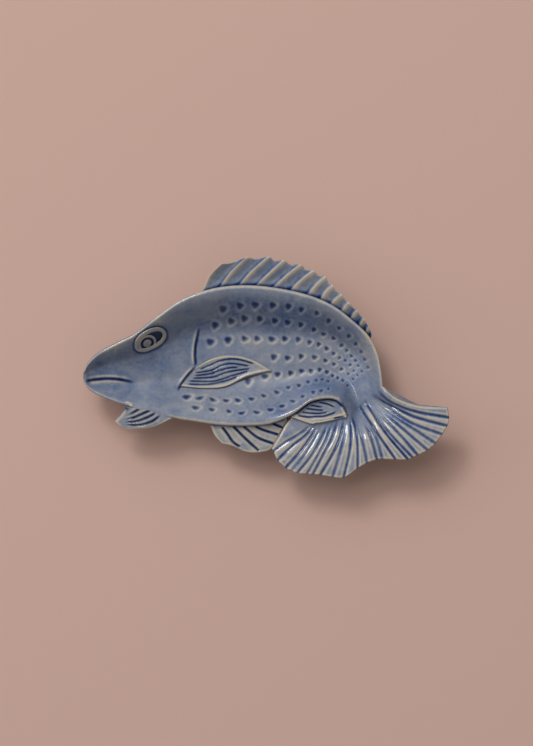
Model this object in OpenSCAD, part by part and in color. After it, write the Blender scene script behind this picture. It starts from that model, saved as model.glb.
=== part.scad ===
// Fish-shaped serving platter in glazed stoneware: a hollow body with fins, tail and eye
// luted on with slip. X runs from the snout to the tail, Y from the belly to the back,
// and Z up from the table. The origin is under the middle of the platter.

/* [Platter] */
// Length, from the snout to the tip of the tail
platter_l = 220; // [160:1:300]
// Breadth, from the anal fin to the dorsal fin
platter_w = 133; // [100:1:180]
// Height of the rim along the back
rim_h = 28; // [22:0.5:40]
// Thickness of the slip layer between luted pieces
slip_t = 0.15; // [0.1:0.05:0.3]
// Thickness of the slip layer under a piece that is laid on the curved wall
seat_t = 0.3; // [0.25:0.05:0.6]

/* [Body] */
// Clay thickness at the rim
rim_t = 5; // [3:0.25:8]
// Clay thickness of the floor
floor_t = 5; // [3.5:0.25:8]
// Extra clay halfway up the wall
wall_extra = 2.5; // [0:0.25:4]
// Width of the rounding on the rim
rim_roll_w = 2.6; // [1:0.1:4]
// Drop of the rounding on the rim
rim_roll_h = 1.2; // [0.4:0.1:2.5]
// How much lower the belly rim is than the back rim
belly_drop = 2; // [0:0.25:4]
// How much lower the snout is than the back rim
snout_drop = 2; // [0:0.25:4]
// How much lower the back rim is at the tail
tail_drop = 2.5; // [0:0.25:5]
// Further fall of the belly rim where it runs out into the anal fin
lip_fall = 6; // [3:0.25:8]

/* [Foot] */
// Length of the oval foot ring
foot_l = 92; // [60:1:110]
// Breadth of the oval foot ring
foot_w = 36; // [24:1:44]
// Height of the foot ring
foot_h = 3; // [2:0.25:6]
// Width of the foot ring's wall
foot_wall = 5; // [3:0.25:8]

/* [Fins] */
// Clay thickness of a fin at its root
fin_root_t = 4.5; // [3:0.25:7]
// Clay thickness of a fin at its edge
fin_edge_t = 3; // [2:0.25:5]
// Depth of the flutes between rays
flute_d = 1.2; // [0.3:0.1:2]
// Step from the back rim down to the dorsal fin
dorsal_step = 4; // [1:0.25:5]
// Rise of the dorsal fin from root to edge
dorsal_rise = 6.5; // [0:0.25:9]
// Step from the belly rim down to the pelvic fin
pelvic_step = 4; // [2:0.25:6]
// Fall of the pelvic fin from root to edge
pelvic_fall = 2; // [0:0.25:5]
// Fall of the throat fin from root to tip
throat_fall = 4; // [0:0.25:6]
// Height of the tail's edge above the table
tail_edge_h = 28; // [20:0.5:36]
// Height of the anal fin's edge above the table
anal_edge_h = 25.5; // [18:0.5:34]
// Climb of the anal fin's root from the tail towards the belly
anal_root_climb = 2; // [0:0.25:4]
// Step up from the anal fin to the leaf-shaped lobe on it
lobe_step = 1.3; // [0.4:0.1:2.5]
// Dip of the lobe from its lower border to the belly rim
lobe_dip = 1.2; // [0:0.1:3]
// Thickness of the pectoral fin on the basin wall
pectoral_t = 2; // [1:0.1:4]
// Depth of the lines in the pectoral fin and the lobe
line_d = 0.7; // [0.2:0.05:1]

/* [Eye] */
// Long axis of the eye ring
eye_l = 21; // [14:0.5:26]
// Short axis of the eye ring
eye_w = 12.4; // [9:0.2:15]
// Turn of the long axis, up towards the back
eye_turn = 33; // [0:1:60]
// Width of the clay band of the eye ring
eye_band = 1.6; // [1:0.1:2.2]
// Height of the eye's raised bands
eye_h = 1.4; // [0.6:0.1:2.5]
// Width of the clay band of the iris ring
iris_band = 1.1; // [0.5:0.1:1.4]
// Gap that the glaze fills between the eye ring, the iris ring and the pupil
eye_gap = 0.4; // [0.2:0.1:0.8]
// Shift of the iris from the middle of the eye towards the mouth
iris_shift = 2.6; // [0:0.1:4]

/* [Hidden] */
glaze_colour = "#7886a5";
ridge_colour = "#a9a9a6";
foot_colour = "#b59c80";
$fn = 48;

// Ribs across the body, from the snout to the tail root: [point on the back, point on the belly],
// as shares of the platter's length and breadth.
rib_shares = [
    [[0.000, 0.475], [0.001, 0.434]],
    [[0.012, 0.520], [0.019, 0.396]],
    [[0.041, 0.568], [0.055, 0.364]],
    [[0.087, 0.611], [0.098, 0.337]],
    [[0.142, 0.656], [0.139, 0.317]],
    [[0.205, 0.735], [0.189, 0.303]],
    [[0.265, 0.804], [0.243, 0.271]],
    [[0.328, 0.846], [0.301, 0.256]],
    [[0.396, 0.869], [0.369, 0.240]],
    [[0.470, 0.871], [0.443, 0.235]],
    [[0.546, 0.855], [0.511, 0.244]],
    [[0.620, 0.826], [0.571, 0.285]],
    [[0.683, 0.781], [0.620, 0.342]],
    [[0.738, 0.713], [0.661, 0.357]],
    [[0.781, 0.643], [0.691, 0.353]],
    [[0.806, 0.561], [0.708, 0.330]],
    [[0.816, 0.484], [0.717, 0.303]],
    [[0.820, 0.416], [0.723, 0.276]],
];
last_rib = len(rib_shares) - 1;

// Shares of the ribs where the basin reaches its full depth, where it starts to rise to the tail,
// and where the belly rim starts to run out.
full_depth_share = 0.47;
tail_start_share = 0.75;
lip_end_share = 0.718;
// Share of the basin's depth lost at the tail root
tail_rise_share = 0.58;
// Share of the half breadth that is flat floor
floor_share = 0.3;
// Middle of the foot, and the width of the blend round it as a share of the foot
foot_mid_share = [0.509, 0.545];
foot_blend_share = 0.35;

// Dorsal fin rays, from the head back: [rib at the root, point at half length, tip].
dorsal_ray_shares = [
    [6.96, [0.344, 0.914], [0.377, 0.968]],
    [7.72, [0.410, 0.937], [0.449, 0.998]],
    [8.45, [0.466, 0.939], [0.508, 1.000]],
    [9.07, [0.514, 0.930], [0.551, 0.984]],
    [9.68, [0.560, 0.919], [0.596, 0.964]],
    [10.30, [0.600, 0.898], [0.631, 0.937]],
    [10.93, [0.639, 0.876], [0.663, 0.910]],
    [11.46, [0.667, 0.846], [0.683, 0.869]],
    [11.93, [0.694, 0.812], [0.708, 0.828]],
    [12.43, [0.718, 0.778], [0.728, 0.792]],
    [12.90, [0.741, 0.743], [0.749, 0.756]],
    [13.37, [0.762, 0.707], [0.768, 0.717]],
    [13.80, [0.778, 0.676], [0.781, 0.683]],
    [14.15, [0.789, 0.640], [0.791, 0.645]],
];
// Tail rays, from the upper edge down: [share of the tail root, point at half length, tip].
tail_ray_shares = [
    [0.000, [0.882, 0.344], [0.996, 0.320]],
    [0.155, [0.874, 0.320], [1.000, 0.275]],
    [0.280, [0.870, 0.302], [0.995, 0.236]],
    [0.338, [0.864, 0.282], [0.981, 0.198]],
    [0.372, [0.858, 0.270], [0.963, 0.158]],
    [0.400, [0.850, 0.256], [0.941, 0.127]],
    [0.428, [0.836, 0.248], [0.915, 0.104]],
    [0.459, [0.820, 0.239], [0.900, 0.094]],
    [0.493, [0.809, 0.247], [0.887, 0.084]],
    [0.639, [0.792, 0.236], [0.854, 0.084]],
    [0.676, [0.787, 0.224], [0.819, 0.086]],
    [0.718, [0.777, 0.221], [0.803, 0.084]],
    [0.803, [0.758, 0.201], [0.776, 0.068]],
    [0.896, [0.748, 0.186], [0.750, 0.043]],
    [1.000, [0.731, 0.166], [0.713, 0.002]],
];
// Anal fin rays below the lobe, from the tail forward: [root, point at half length, tip].
anal_ray_shares = [
    [[0.717, 0.271], [0.710, 0.157], [0.682, 0.004]],
    [[0.713, 0.270], [0.696, 0.158], [0.649, 0.014]],
    [[0.697, 0.266], [0.672, 0.152], [0.628, 0.017]],
    [[0.682, 0.259], [0.656, 0.147], [0.611, 0.018]],
    [[0.671, 0.255], [0.638, 0.139], [0.586, 0.023]],
    [[0.654, 0.250], [0.623, 0.146], [0.570, 0.032]],
    [[0.646, 0.247], [0.607, 0.150], [0.553, 0.047]],
    [[0.636, 0.246], [0.592, 0.172], [0.531, 0.081]],
    [[0.623, 0.243], [0.576, 0.186], [0.520, 0.120]],
    [[0.568, 0.274], [0.545, 0.217], [0.516, 0.133]],
];
// Ray that parts the tail from the anal fin, and half the gap there as a share of a ray.
tail_end_ray = 11;
ray_gap_share = 0.02;
// Shares of the fan's rays between which its edge falls from the tail to the anal fin
edge_fall_shares = [0.17, 0.75];

// Pelvic fin rays, from the tail forward: [rib at the root, point at half length, tip].
pelvic_ray_shares = [
    [10.72, [0.557, 0.262], [0.558, 0.256]],
    [10.00, [0.530, 0.231], [0.545, 0.227]],
    [9.40, [0.503, 0.212], [0.535, 0.194]],
    [8.96, [0.475, 0.190], [0.522, 0.149]],
    [8.75, [0.456, 0.183], [0.505, 0.122]],
    [8.50, [0.437, 0.185], [0.477, 0.114]],
    [8.30, [0.415, 0.188], [0.445, 0.118]],
    [8.08, [0.393, 0.192], [0.410, 0.143]],
    [7.68, [0.359, 0.192], [0.380, 0.154]],
];
// Throat fin rays, from the belly to the jaw: [rib at the root, point at half length, tip].
throat_ray_shares = [
    [6.05, [0.188, 0.229], [0.123, 0.219]],
    [5.65, [0.169, 0.233], [0.108, 0.229]],
    [5.30, [0.151, 0.247], [0.098, 0.237]],
    [4.85, [0.134, 0.265], [0.092, 0.244]],
    [4.30, [0.118, 0.277], [0.088, 0.250]],
    [3.75, [0.106, 0.285], [0.086, 0.255]],
];
// Borders of the pectoral fin, from the gill to the tip.
pectoral_top_shares = [[0.307, 0.500], [0.350, 0.541], [0.402, 0.556], [0.459, 0.538], [0.512, 0.489]];
pectoral_low_shares = [[0.265, 0.414], [0.328, 0.405], [0.388, 0.412], [0.448, 0.458], [0.512, 0.482]];
pectoral_lines = 6;
// Shares of the ribs at the two ends of the lobe's upper border, and the lines cut in the lobe
lobe_end_shares = [0.655, 0.99];
lobe_lines = 4;
// How far the dorsal fin's edge dips between rays, as a share of the ray
scallop_share = 0.09;

// Middle of the eye ring
eye_mid_share = [0.183, 0.627];
// First guesses for where the pectoral fin and the eye lie: [share of the ribs, w]
pectoral_guess_shares = [0.47, 0];
eye_guess_shares = [0.265, 0.5];

// Counts of facets
body_steps = 56;
breadth_steps = 32;
steps_per_ray = 4;
ray_steps = 7;
sprig_steps = 14;
loop_steps = 48;
// Step of the numeric slopes, as a share of the ribs, and rounds of the search for a place
slope_share = 0.001;
search_rounds = 6;

basin_depth = rim_h - foot_h - floor_t;
iris_d = eye_w - 2 * (eye_band + eye_gap);
pupil_d = iris_d - 2 * (iris_band + eye_gap);

function lerp(a, b, s) = a + (b - a) * s;
function smooth(x) = let (c = max(0, min(1, x))) c * c * (3 - 2 * c);
function plan(s) = [(s[0] - 0.5) * platter_l, (s[1] - 0.5) * platter_w];
function unit(v) = v / norm(v);

// Point on a smooth curve through the points; u counts points from 0.
function knot(p, i) =
    let (n = len(p) - 1)
    i < 0 ? 2 * p[0] - p[1] : i > n ? 2 * p[n] - p[n - 1] : p[i];
function curve(p, u) =
    let (i = max(0, min(len(p) - 2, floor(u))), f = u - i)
    let (a = knot(p, i - 1), b = p[i], c = p[i + 1], d = knot(p, i + 2))
    b + f * ((c - a) / 2 + f * (a - 2.5 * b + 2 * c - d / 2 + f * (1.5 * (b - c) + (d - a) / 2)));

back_rail = [for (r = rib_shares) plan(r[0])];
belly_rail = [for (r = rib_shares) plan(r[1])];

// The basin as a function of the rib number g and of w, from -1 on the belly rim to 1 on the back rim.
function back_at(g) = curve(back_rail, g);
function belly_at(g) = curve(belly_rail, g);
function basin_plan(g, w) = lerp(belly_at(g), back_at(g), (w + 1) / 2);
function half_breadth(g) = norm(back_at(g) - belly_at(g)) / 2;
function tail_share(g) = smooth((g / last_rib - tail_start_share) / (1 - tail_start_share));
function lip_share(g) = smooth((g / last_rib - lip_end_share) / (1 - lip_end_share));
function head_share(g) = sin(90 * min(1, g / last_rib / full_depth_share));
function depth_at(g) = basin_depth * head_share(g) * (1 - tail_rise_share * tail_share(g));
function back_rim_z(g) = rim_h - snout_drop * (1 - head_share(g)) - tail_drop * tail_share(g);
function belly_rim_z(g) =
    rim_h - lerp(snout_drop, belly_drop, head_share(g)) - lip_fall * lip_share(g);
function wall_share(w) = smooth((abs(w) - floor_share) / (1 - floor_share));
function rim_drop(g, w) =
    let (inside = (1 - abs(w)) * half_breadth(g), keep = w < 0 ? 1 - lip_share(g) : 1)
    rim_roll_h * keep * pow(max(0, 1 - inside / rim_roll_w), 2);
function basin_z(g, w) =
    lerp(belly_rim_z(g), back_rim_z(g), (w + 1) / 2)
    - depth_at(g) * (1 - wall_share(w)) - rim_drop(g, w);
function foot_reach(g, w) =
    let (off = basin_plan(g, w) - plan(foot_mid_share))
    2 * norm([off[0] / foot_l, off[1] / foot_w]);
function under_z(g, w) =
    let (wall = rim_t + 4 * wall_extra * abs(w) * (1 - abs(w)))
    let (free = max(foot_h, basin_z(g, w) + rim_drop(g, w) - wall))
    lerp(foot_h, free, smooth((foot_reach(g, w) - 1) / foot_blend_share));

// Rib number and w of the point of the basin over a point of the plan, from a first guess q.
function basin_at(p, q, rounds) =
    rounds == 0 ? q :
    let (e = p - basin_plan(q[0], q[1]), step = slope_share * last_rib)
    let (dg = (basin_plan(q[0] + step, q[1]) - basin_plan(q[0] - step, q[1])) / (2 * step))
    let (dw = (back_at(q[0]) - belly_at(q[0])) / 2)
    let (det = dg[0] * dw[1] - dg[1] * dw[0])
    basin_at(p, q + [e[0] * dw[1] - e[1] * dw[0], dg[0] * e[1] - dg[1] * e[0]] / det, rounds - 1);
function seat_z(p, guess) =
    let (at = basin_at(p, [guess[0] * last_rib, guess[1]], search_rounds))
    basin_z(at[0], at[1]) + seat_t;

// Closed solid between a top and a bottom grid of points, both as rows of equal length.
module slab(top, bottom) {
    rows = len(top);
    columns = len(top[0]);
    ring = 2 * columns;
    points = [for (i = [0 : rows - 1]) each
        concat(top[i], [for (j = [columns - 1 : -1 : 0]) bottom[i][j]])];
    skin = [for (i = [0 : rows - 2], k = [0 : ring - 1])
        let (n = (k + 1) % ring, o = i * ring)
        each [[o + k, o + n, o + ring + n], [o + k, o + ring + n, o + ring + k]]];
    caps = [for (j = [0 : columns - 2])
        let (o = (rows - 1) * ring, b = j + 1, c = ring - 2 - j, d = ring - 1 - j)
        each [[j, d, c], [j, c, b], [o + j, o + b, o + c], [o + j, o + c, o + d]]];
    polyhedron(points, concat(skin, caps));
}

// Closed solid from sections that follow each other round a loop.
module loop_sweep(sections) {
    count = len(sections);
    sides = len(sections[0]);
    faces = [for (i = [0 : count - 1], k = [0 : sides - 1])
        let (a = i * sides, b = ((i + 1) % count) * sides, n = (k + 1) % sides)
        each [[a + k, a + n, b + n], [a + k, b + n, b + k]]];
    polyhedron([for (s = sections) each s], faces);
}

// Flutes: rays that stand up as ridges, or are cut in as lines, at whole ray numbers.
function ridge(a) = -flute_d * pow(sin(180 * a), 2);
function cut_line(a, depth) = -depth * pow(1 - abs(sin(180 * a)), 2);
function fin_t(r) = lerp(fin_root_t, fin_edge_t, r);

// Fin on rays of [root, middle, tip]: ray number a and share r of the ray.
function ray_point(rays, a, r) = curve([for (k = [0 : 2]) curve([for (ray = rays) ray[k]], a)], 2 * r);
function ray_numbers(first, last) =
    let (n = max(1, round((last - first) * steps_per_ray)))
    [for (i = [0 : n]) lerp(first, last, i / n)];
function add_z(p, z) = [p[0], p[1], z];

// Root points stand off the rim by the slip layer, along the line towards the middle of the ray.
function off_rim(root, middle) = root + slip_t * unit(middle - root);
function rail_rays(shares, rail) = [for (s = shares)
    let (middle = plan(s[1]))
    [off_rim(curve(rail, s[0]), middle), middle, plan(s[2])]];

dorsal_rays = rail_rays(dorsal_ray_shares, back_rail);
dorsal_ribs = [for (s = dorsal_ray_shares) s[0]];
pelvic_rays = rail_rays(pelvic_ray_shares, belly_rail);
pelvic_ribs = [for (s = pelvic_ray_shares) s[0]];
throat_rays = rail_rays(throat_ray_shares, belly_rail);
throat_ribs = [for (s = throat_ray_shares) s[0]];

// The tail and the anal fin are one fan, parted at one ray.
tail_out = let (along = unit(belly_at(last_rib) - back_at(last_rib))) [-along[1], along[0]];
function tail_root(s) = lerp(back_at(last_rib), belly_at(last_rib), s) + slip_t * tail_out;
fan_rays = concat(
    [for (s = tail_ray_shares) [tail_root(s[0]), plan(s[1]), plan(s[2])]],
    [for (s = anal_ray_shares) [for (p = s) plan(p)]]
);
last_ray = len(fan_rays) - 1;
last_tail_ray = len(tail_ray_shares) - 1;
tail_root_shares = [for (s = tail_ray_shares) s[0]];
function anal_climb(a) = anal_root_climb * smooth((a - last_tail_ray) / (last_ray - last_tail_ray));
function fan_root_z(a) =
    a > last_tail_ray ? basin_z(last_rib, -1) + anal_climb(a)
    : basin_z(last_rib, 1 - 2 * max(0, min(1, curve(tail_root_shares, a))));
function fan_edge_z(a) =
    let (fall = (a / last_ray - edge_fall_shares[0]) / (edge_fall_shares[1] - edge_fall_shares[0]))
    lerp(tail_edge_h, anal_edge_h, smooth(fall));
// Along a ray the fan rises most at a third of its length and is level at the root and at the edge.
function turn_up(r) = 1 - pow(1 - r, 3) * (1 + 3 * r);
function fan_z(a, r) = lerp(fan_root_z(a), fan_edge_z(a), turn_up(r));

// The fan between two ray numbers, with a line cut along every ray.
module fan_part(first, last) {
    numbers = ray_numbers(first, last);
    shares = [for (j = [0 : ray_steps]) j / ray_steps];
    top = [for (a = numbers) [for (r = shares)
        add_z(ray_point(fan_rays, a, r), fan_z(a, r) + cut_line(a, flute_d) * smooth(2 * r))]];
    bottom = [for (a = numbers) [for (r = shares)
        add_z(ray_point(fan_rays, a, r), fan_z(a, r) - fin_t(r))]];
    slab(top, bottom);
}

// A fin along a rim: root heights one for each ray, the rise to the edge, the flutes from cut(a),
// and the share by which the edge dips between rays.
module rail_fin(rays, root_z, rise, cut, dip) {
    numbers = ray_numbers(0, len(rays) - 1);
    shares = [for (j = [0 : ray_steps]) j / ray_steps];
    reach = [for (a = numbers) 1 - dip * pow(sin(180 * a), 2)];
    top = [for (i = [0 : len(numbers) - 1]) [for (r = shares)
        add_z(ray_point(rays, numbers[i], r * reach[i]),
            curve(root_z, numbers[i]) + rise * r + cut(numbers[i]) * smooth(3 * r))]];
    bottom = [for (i = [0 : len(numbers) - 1]) [for (r = shares)
        add_z(ray_point(rays, numbers[i], r * reach[i]), curve(root_z, numbers[i]) + rise * r - fin_t(r))]];
    slab(top, bottom);
}

module dish_body() {
    ribs = [for (i = [0 : body_steps]) last_rib * i / body_steps];
    across = [for (j = [0 : breadth_steps]) -cos(180 * j / breadth_steps)];
    color(glaze_colour) slab(
        [for (g = ribs) [for (w = across) add_z(basin_plan(g, w), basin_z(g, w))]],
        [for (g = ribs) [for (w = across) add_z(basin_plan(g, w), under_z(g, w))]]
    );
}

function oval(l, w) = [for (i = [0 : loop_steps - 1])
    let (turn = 360 * i / loop_steps) [l / 2 * cos(turn), w / 2 * sin(turn)]];

module foot_ring() {
    color(foot_colour) translate(plan(foot_mid_share)) linear_extrude(foot_h - slip_t) difference() {
        polygon(oval(foot_l, foot_w));
        polygon(oval(foot_l - 2 * foot_wall, foot_w - 2 * foot_wall));
    }
}

module dorsal_fin() {
    root_z = [for (g = dorsal_ribs) back_rim_z(g) - dorsal_step];
    color(ridge_colour)
        rail_fin(dorsal_rays, root_z, dorsal_rise, function (a) ridge(a), scallop_share);
}

module tail_fin() {
    color(glaze_colour) fan_part(0, tail_end_ray - ray_gap_share);
}

module anal_fin() {
    color(glaze_colour) fan_part(tail_end_ray + ray_gap_share, last_ray);
}

module anal_fin_lobe() {
    shares = [for (j = [0 : sprig_steps]) j / sprig_steps];
    rows = lobe_lines * steps_per_ray;
    upper = [for (s = shares) belly_at(last_rib * lerp(lobe_end_shares[0], lobe_end_shares[1], s))];
    lower_rays = [for (s = shares) lerp(last_ray, last_tail_ray, s)];
    lower = [for (a = lower_rays) ray_point(fan_rays, a, 0)];
    function border(i, j) =
        let (out = slip_t * unit(lower[j] - upper[j]))
        lerp(upper[j] + out, lower[j] - out, i / rows);
    function level(i, j) = fan_root_z(lower_rays[j]) + lobe_step - lobe_dip * (1 - i / rows);
    color(ridge_colour) slab(
        [for (i = [0 : rows]) [for (j = [0 : sprig_steps])
            add_z(border(i, j), level(i, j) + cut_line(i / steps_per_ray, line_d))]],
        [for (i = [0 : rows]) [for (j = [0 : sprig_steps]) add_z(border(i, j), level(i, j) - fin_root_t)]]
    );
}

module pelvic_fin() {
    root_z = [for (g = pelvic_ribs) belly_rim_z(g) - pelvic_step];
    color(ridge_colour)
        rail_fin(pelvic_rays, root_z, -pelvic_fall, function (a) cut_line(a, flute_d), 0);
}

module throat_fin() {
    root_z = [for (g = throat_ribs) belly_rim_z(g) - rim_roll_h];
    color(glaze_colour)
        rail_fin(throat_rays, root_z, -throat_fall, function (a) cut_line(a, flute_d), 0);
}

module pectoral_fin() {
    top_edge = [for (s = pectoral_top_shares) plan(s)];
    low_edge = [for (s = pectoral_low_shares) plan(s)];
    ends = len(top_edge) - 1;
    rows = pectoral_lines * steps_per_ray;
    places = [for (i = [0 : rows]) [for (j = [0 : sprig_steps])
        lerp(curve(top_edge, ends * j / sprig_steps), curve(low_edge, ends * j / sprig_steps), i / rows)]];
    seats = [for (row = places) [for (p = row) seat_z(p, pectoral_guess_shares)]];
    color(ridge_colour) slab(
        [for (i = [0 : rows]) [for (j = [0 : sprig_steps])
            add_z(places[i][j], seats[i][j] + pectoral_t + cut_line(i / steps_per_ray, line_d))]],
        [for (i = [0 : rows]) [for (j = [0 : sprig_steps]) add_z(places[i][j], seats[i][j])]]
    );
}

// Raised band round an oval of the given axes, turned with the eye and seated on the head.
module eye_loop(middle, long_axis, short_axis, band) {
    turns = [for (i = [0 : loop_steps - 1]) -360 * i / loop_steps];
    function oval(turn, inset) =
        let (x = (long_axis / 2 - inset) * cos(turn), y = (short_axis / 2 - inset) * sin(turn))
        middle + [x * cos(eye_turn) - y * sin(eye_turn), x * sin(eye_turn) + y * cos(eye_turn)];
    // Section of the band: [inset as a share of the band, height as a share of the eye's height]
    band_shares = [[0, 0], [0, 0.5], [0.25, 0.9], [0.5, 1], [0.75, 0.9], [1, 0.5], [1, 0]];
    loop_sweep([for (turn = turns) [for (s = band_shares)
        let (p = oval(turn, s[0] * band)) add_z(p, seat_z(p, eye_guess_shares) + s[1] * eye_h)]]);
}

eye_mid = plan(eye_mid_share);
iris_mid = eye_mid - iris_shift * [cos(eye_turn), sin(eye_turn)];

module eye_ring() {
    color(ridge_colour) eye_loop(eye_mid, eye_l, eye_w, eye_band);
}

module eye_iris() {
    color(ridge_colour) eye_loop(iris_mid, iris_d, iris_d, iris_band);
}

module eye_pupil() {
    function seat(p) = add_z(p, seat_z(p, eye_guess_shares));
    reach = pupil_d / 2;
    along = seat(iris_mid + [reach, 0]) - seat(iris_mid - [reach, 0]);
    up = seat(iris_mid + [0, reach]) - seat(iris_mid - [0, reach]);
    normal = unit(cross(along, up));
    color(ridge_colour) translate(seat(iris_mid) + seat_t * normal)
        rotate([0, acos(normal[2]), atan2(normal[1], normal[0])])
            cylinder(h = eye_h, d = pupil_d);
}

dish_body();
foot_ring();
dorsal_fin();
tail_fin();
anal_fin();
anal_fin_lobe();
pelvic_fin();
throat_fin();
pectoral_fin();
eye_ring();
eye_iris();
eye_pupil();
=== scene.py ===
import bpy
import numpy as np
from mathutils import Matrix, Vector


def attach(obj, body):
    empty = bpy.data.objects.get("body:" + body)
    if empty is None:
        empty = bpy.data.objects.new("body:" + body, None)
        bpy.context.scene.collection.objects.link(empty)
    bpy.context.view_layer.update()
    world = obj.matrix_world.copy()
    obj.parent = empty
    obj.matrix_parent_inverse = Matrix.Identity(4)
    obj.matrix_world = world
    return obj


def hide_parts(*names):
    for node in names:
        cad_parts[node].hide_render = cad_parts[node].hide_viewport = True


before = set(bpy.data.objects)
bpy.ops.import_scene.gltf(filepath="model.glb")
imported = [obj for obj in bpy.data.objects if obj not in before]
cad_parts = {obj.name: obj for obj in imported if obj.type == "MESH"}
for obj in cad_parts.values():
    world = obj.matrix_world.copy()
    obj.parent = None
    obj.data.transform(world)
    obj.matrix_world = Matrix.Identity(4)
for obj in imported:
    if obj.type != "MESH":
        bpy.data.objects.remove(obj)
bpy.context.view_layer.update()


# Dish body: a slab of stoneware pressed over a hump mould, so that the fish is a shallow basin
# with a rolled rim. Scales are pressed in with a small tool; the gill and the mouth are cut with
# a knife. A blue glaze covers it, runs thin on the rim and pools in every cut.
picture_mid = np.array([266.0, 367.5])
unit_mm = np.array([0.60109, -0.60181])


def mm(px):
    """Plan points in mm from points read off the top view in picture units: 0.601 mm each, y turned up."""
    return (np.asarray(px, float) - picture_mid) * unit_mm


def picture(points):
    """The way back: picture units from plan points in mm."""
    return points / unit_mm + picture_mid


def smooth(x):
    """3x^2 - 2x^3 between 0 and 1, flat outside."""
    x = np.clip(x, 0.0, 1.0)
    return x * x * (3.0 - 2.0 * x)


def span(x, start, rise, stop, fall):
    """1 from start + rise to stop, and smoothly down to 0 at start and at stop + fall."""
    return smooth((x - start) / rise) * (1 - smooth((x - stop) / fall))


def bell(d, width):
    """exp(-(d / width)^2): 1 on a line, and next to nothing two widths away from it."""
    return np.exp(-(d / width) ** 2)


def spline(p, u):
    """Catmull-Rom curve through the points p (first axis), at u counted in points."""
    p, u = np.asarray(p, float), np.asarray(u, float)
    q = np.concatenate([2 * p[:1] - p[1:2], p, 2 * p[-1:] - p[-2:-1]])
    i = np.clip(np.floor(u).astype(int), 0, len(p) - 2)
    f = (u - i).reshape(u.shape + (1,) * (p.ndim - 1))
    a, b, c, d = q[i], q[i + 1], q[i + 2], q[i + 3]
    return b + f * ((c - a) / 2 + f * (a - 2.5 * b + 2 * c - d / 2 + f * (1.5 * (b - c) + (d - a) / 2)))


def line_field(xy, lines, width, fade):
    """How near each point is to a set of lines, 0 to 1: exp(-(d / width)^2) of the distance d to the
    nearest line, times a smooth run-out over the first and last fade mm of that line."""
    flat = xy.reshape(-1, 2)
    field = np.zeros(len(flat))
    for line in lines:
        path = spline(mm(line), np.linspace(0, len(line) - 1, 8 * len(line)))
        step = np.diff(path, axis=0)
        size = np.maximum(np.linalg.norm(step, axis=1), 1e-6)
        start = np.concatenate([[0.0], np.cumsum(size)[:-1]])
        low, high = path.min(0) - 4 * width, path.max(0) + 4 * width
        near = np.flatnonzero(((flat > low) & (flat < high)).all(1))
        p = flat[near]
        best, place = np.full(len(near), 1e9), np.zeros(len(near))
        for k in range(len(step)):
            t = np.clip(((p - path[k]) @ step[k]) / size[k] ** 2, 0, 1)
            d = np.linalg.norm(p - path[k] - t[:, None] * step[k], axis=1)
            closer = d < best
            best[closer], place[closer] = d[closer], (start[k] + t * size[k])[closer]
        ends = smooth(place / fade[0]) * smooth((start[-1] + size[-1] - place) / fade[1])
        field[near] = np.maximum(field[near], np.exp(-(best / width) ** 2) * ends)
    return field.reshape(xy.shape[:-1])


def add_piece(name, points, faces, pool, material, crisp=True):
    """A piece of the dish from points in mm and faces, riding on the root. pool, one value per point, is
    how thick the glaze lies, and on some parts painted light and painted shade as well. Shading is smooth,
    and a crisp piece keeps its edges over 60 degrees."""
    mesh = bpy.data.meshes.new(name)
    mesh.from_pydata((points * 0.001).tolist(), [], faces)
    mesh.shade_smooth()
    if crisp:
        mesh.set_sharp_from_angle(angle=np.radians(60))
    mesh.attributes.new("pool", "FLOAT", "POINT").data.foreach_set("value", pool.astype(np.float32))
    mesh.materials.append(material)
    piece = bpy.data.objects.new(name, mesh)
    bpy.context.scene.collection.objects.link(piece)
    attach(piece, "root")
    return piece


under_pool = 0.45


def solid(name, top, bottom, pool, material):
    """Closed mesh between a top and a bottom grid (rows, columns, xyz in mm) with the same rows: each
    row is a loop over the top and back along the bottom, and the first and last loops are closed off.
    pool has one value per top point, and the bottom takes under_pool."""
    rows, m, k = len(top), top.shape[1], bottom.shape[1]
    ring = m + k
    points = np.concatenate([top, bottom[:, ::-1]], 1).reshape(-1, 3)
    i, j = np.meshgrid(np.arange(rows - 1), np.arange(ring), indexing="ij")
    a, b = i * ring + j, i * ring + (j + 1) % ring
    quads = np.stack([a, a + ring, b + ring, b], -1).reshape(-1, 4)
    end = (rows - 1) * ring
    faces = quads.tolist() + [list(range(ring)), list(range(end + ring - 1, end - 1, -1))]
    values = np.concatenate([pool, np.full((rows, k), under_pool)], 1).ravel()
    return add_piece(name, points, faces, values, material)


back_rail = mm([
    (83, 373), (87.5, 363), (98, 352.5), (115, 343), (135, 333), (158, 315.5), (180, 300.3),
    (203, 291), (228, 286), (255, 285.5), (283, 289), (310, 295.5), (333, 305.5), (353, 320.5),
    (369, 336), (378, 354), (381.5, 371), (383, 386)])
belly_rail = mm([
    (83.4, 382), (90, 390.5), (103, 397.5), (119, 403.5), (134, 408), (152, 411), (172, 418),
    (193, 421.5), (218, 425), (245, 426), (270, 424), (292, 415), (310, 402.5), (325, 399),
    (336, 400), (342, 405), (345.5, 411), (347.6, 417)])
last_rib = len(back_rail) - 1
rim_h, foot_h, floor_t, rim_t = 28.0, 3.0, 5.0, 5.0
snout_drop, belly_drop, tail_drop, lobe_drop = 2.0, 2.0, 2.5, 6.0
head_ribs, tail_from, lobe_from = 8.0, 12.75, 12.2
tail_fill = 0.58
floor_share = 0.3
roll = 2.4


def basin_plan(g, w):
    """Straight ribs between the two rails: rib number g, and w from -1 on the belly to 1 on the back."""
    low, high = spline(belly_rail, g), spline(back_rail, g)
    return low + (high - low) * ((w + 1) / 2)[..., None]


def head_share(g):
    """0 at the snout to 1 at the eighth rib and beyond, as a quarter of a sine."""
    return np.sin(np.pi / 2 * np.minimum(1.0, g / head_ribs))


def tail_share(g):
    """0 up to the tail's root, then smoothly up to 1 at the last rib."""
    return smooth((g - tail_from) / (last_rib - tail_from))


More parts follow.
